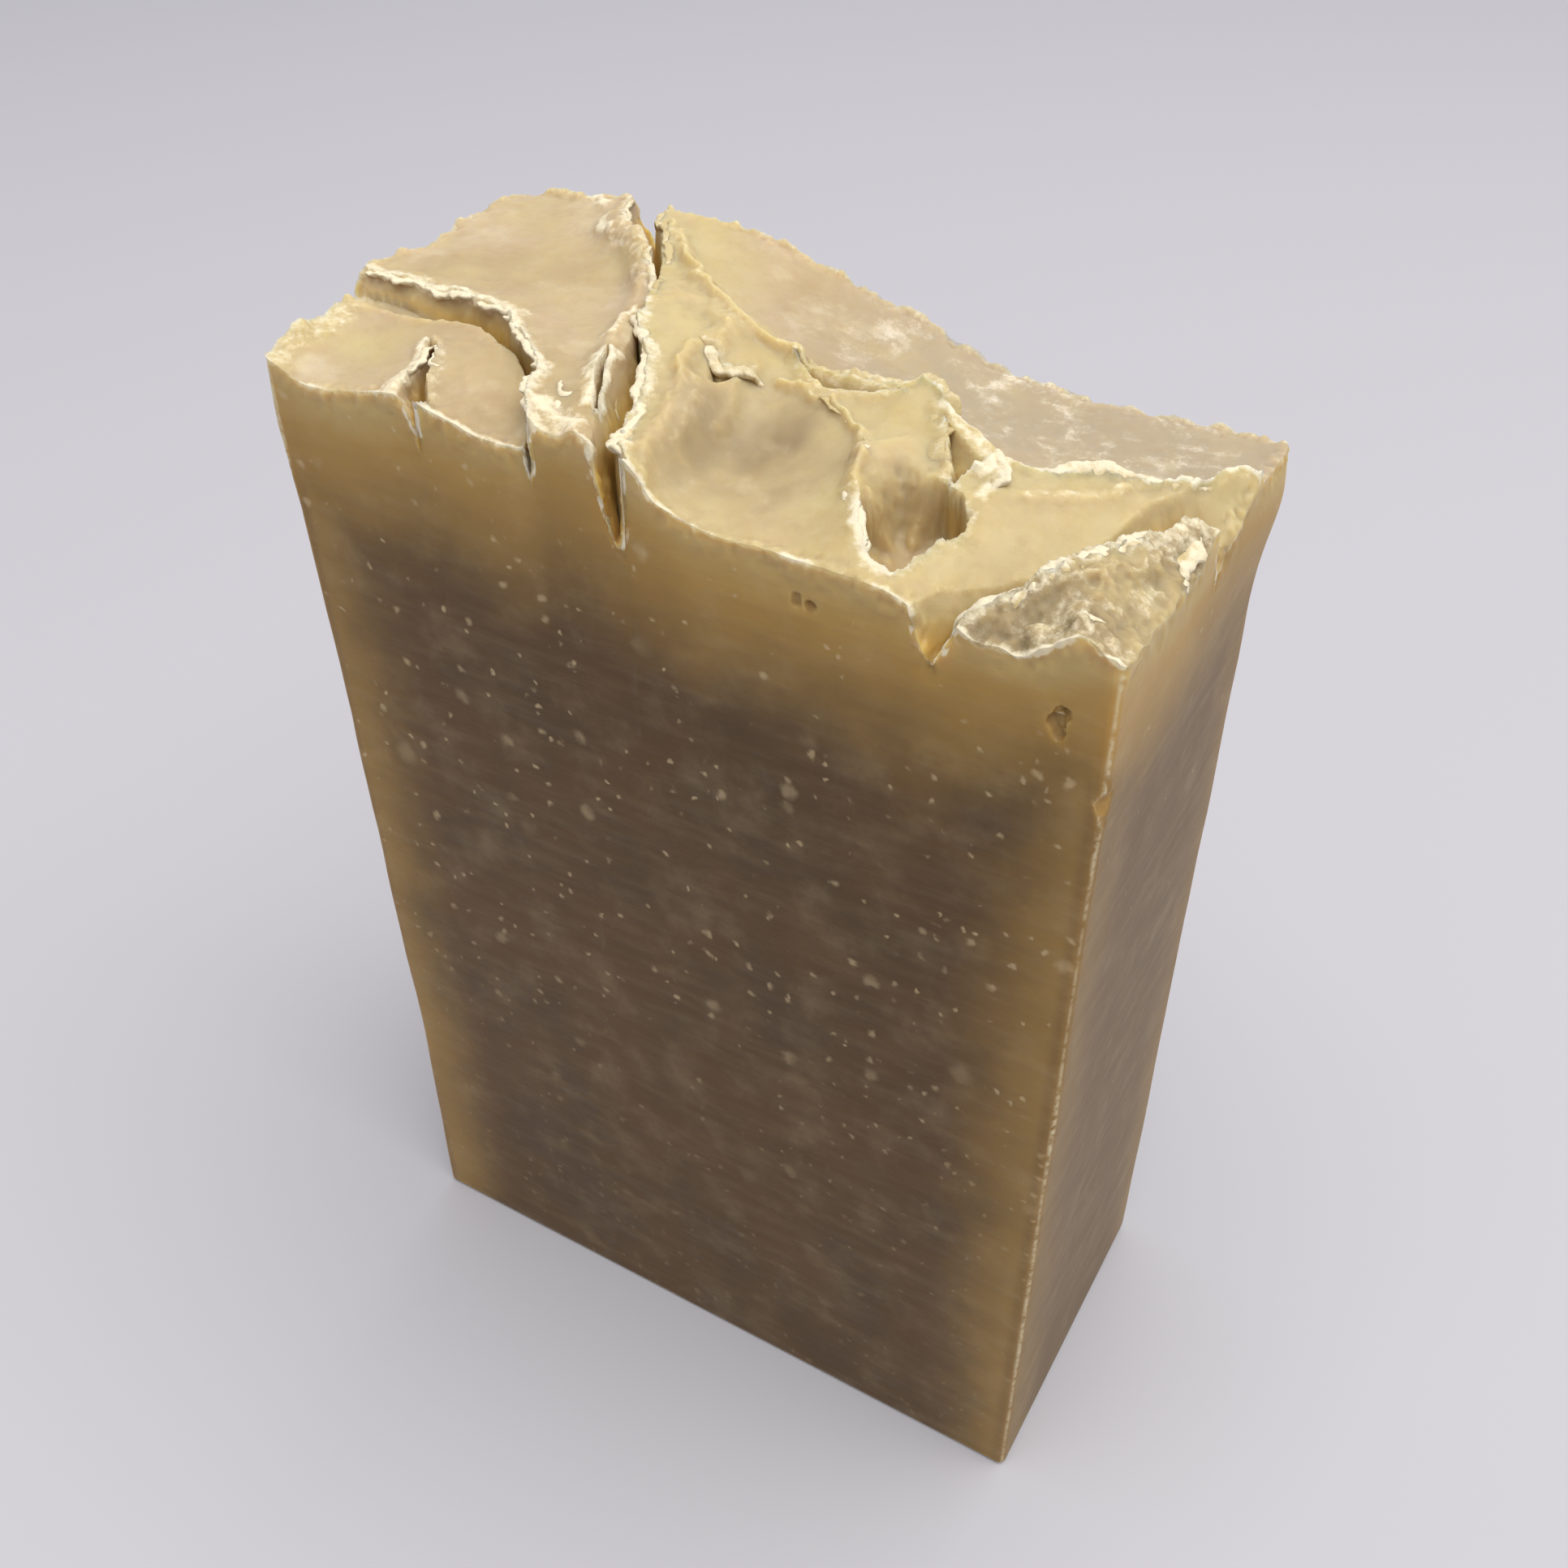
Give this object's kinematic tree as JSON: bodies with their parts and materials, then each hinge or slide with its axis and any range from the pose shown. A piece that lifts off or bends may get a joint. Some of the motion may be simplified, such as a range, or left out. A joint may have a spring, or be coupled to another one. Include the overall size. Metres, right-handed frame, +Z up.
{
  "type": "shampoo bar",
  "caption": "Upright handmade shampoo bar with flat cut faces and a torn, folded and cracked top.",
  "frame": {"origin": "centre of the flat bottom that the bar stands on", "axes": "+Z up to the torn top, +X along the width to the right, -Y towards the plain cut face seen from the front"},
  "size_m": [0.06, 0.0286, 0.091],
  "materials": {
    "soap": null
  },
  "bodies": {
    "root": {"soap_bar": "soap"}
  },
  "joints": []
}
